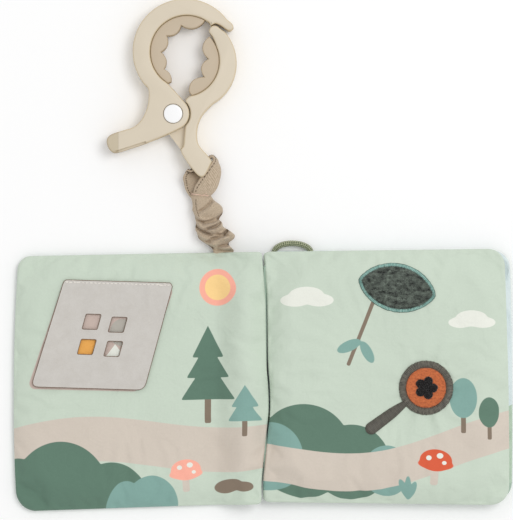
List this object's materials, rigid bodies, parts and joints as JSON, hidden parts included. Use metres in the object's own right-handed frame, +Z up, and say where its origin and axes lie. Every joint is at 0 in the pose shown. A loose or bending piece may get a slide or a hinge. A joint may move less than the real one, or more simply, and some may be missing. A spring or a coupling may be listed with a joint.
{
  "type": "cloth book",
  "caption": "Padded cloth book lying open, with crinkle leaves, a window flap, sewn-on texture patches, a cord loop and a sprung clip on a ruched strap.",
  "frame": {"origin": "middle of the back cover's flat underside, on which the open book lies", "axes": "+Z up out of the open pages, +Y from the pages' lower edge to the edge with the strap, +X from the spine towards the free edge of the back cover"},
  "size_m": [0.3184, 0.3268, 0.0217],
  "materials": {
    "cover_cloth": "printed woven cotton blend",
    "mint_cloth": "printed woven cotton blend",
    "pale_cloth": "printed woven cotton blend",
    "crinkle_film": "thin rustling film",
    "wadding": "loose polyester fleece",
    "flap_suede": "brushed suede-like cloth",
    "pile_cloth": "soft short pile",
    "satin_stitch": "glossy satin stitching",
    "ring_cloth": "smooth padded cloth",
    "woven_disc": "coarse plain weave",
    "felt": "flat felt",
    "braided_cord": "round braid",
    "strap_twill": "brushed twill",
    "elastic": "woven rubber band",
    "thread": "wound sewing thread",
    "clip_plastic": "satin moulded",
    "soft_grip": "soft matt lining",
    "soft_pad": "soft matt end",
    "cap_plastic": "glossy moulded",
    "steel": "drawn wire and turned pin"
  },
  "bodies": {
    "back_leaf": {"back_page_panel": "pale_cloth", "back_cover_panel": "cover_cloth", "back_crinkle_film": "crinkle_film", "back_wadding": "wadding", "spine_binding": "cover_cloth", "cord_loop": "braided_cord"},
    "middle_leaf": {"middle_front_panel": "mint_cloth", "middle_rear_panel": "pale_cloth", "middle_crinkle_film": "crinkle_film", "middle_wadding": "wadding", "pile_patch_border": "satin_stitch", "pile_patch": "pile_cloth", "ring_patch": "ring_cloth", "ring_disc": "woven_disc", "disc_flower": "felt"},
    "front_leaf": {"front_page_panel": "mint_cloth", "front_cover_panel": "cover_cloth", "front_crinkle_film": "crinkle_film", "front_wadding": "wadding", "flap_hem": "flap_suede"},
    "flap": {"window_flap": "flap_suede"},
    "strap": {"ruched_strap": "strap_twill", "strap_elastic": "elastic"},
    "clip": {"strap_loop": "strap_twill", "tie_thread": "thread", "tail_jaw": "clip_plastic", "tail_jaw_grip": "soft_grip", "torsion_spring": "steel", "pivot_pin": "steel", "front_cap": "cap_plastic", "rear_cap": "cap_plastic"},
    "lever": {"lever_jaw": "clip_plastic", "lever_pad": "soft_pad", "lever_jaw_grip": "soft_grip"}
  },
  "joints": [
    {"name": "front_leaf_turn", "type": "hinge", "parent": "back_leaf", "child": "front_leaf", "pos_m": [-0.0797, 0, 0.017], "axis": [0, 1, 0], "range_deg": [0, 178]},
    {"name": "middle_leaf_turn", "type": "hinge", "parent": "back_leaf", "child": "middle_leaf", "pos_m": [-0.0797, 0, 0.017], "axis": [0, 1, 0], "range_deg": [-178, 0]},
    {"name": "flap_lift", "type": "hinge", "parent": "front_leaf", "child": "flap", "pos_m": [-0.13855, 0.05783, 0.011], "axis": [-0.9996, 0.0297, 0], "range_deg": [0, 180]},
    {"name": "strap_swing", "type": "hinge", "parent": "front_leaf", "child": "strap", "pos_m": [-0.10665, 0.07991, 0.0034], "axis": [-1, 0, 0], "range_deg": [-45, 55]},
    {"name": "clip_swing", "type": "hinge", "parent": "strap", "child": "clip", "pos_m": [-0.12076, 0.11471, 0.0062], "axis": [0, 0, -1], "range_deg": [-20, 20]},
    {"name": "clip_jaw_open", "type": "hinge", "parent": "clip", "child": "lever", "pos_m": [-0.13821, 0.16795, 0.0072], "axis": [0, 0, 1], "range_deg": [0, 30], "stiffness_Nm_per_rad": 0.2, "springref_deg": -20.05, "deforming": ["torsion_spring"]}
  ]
}
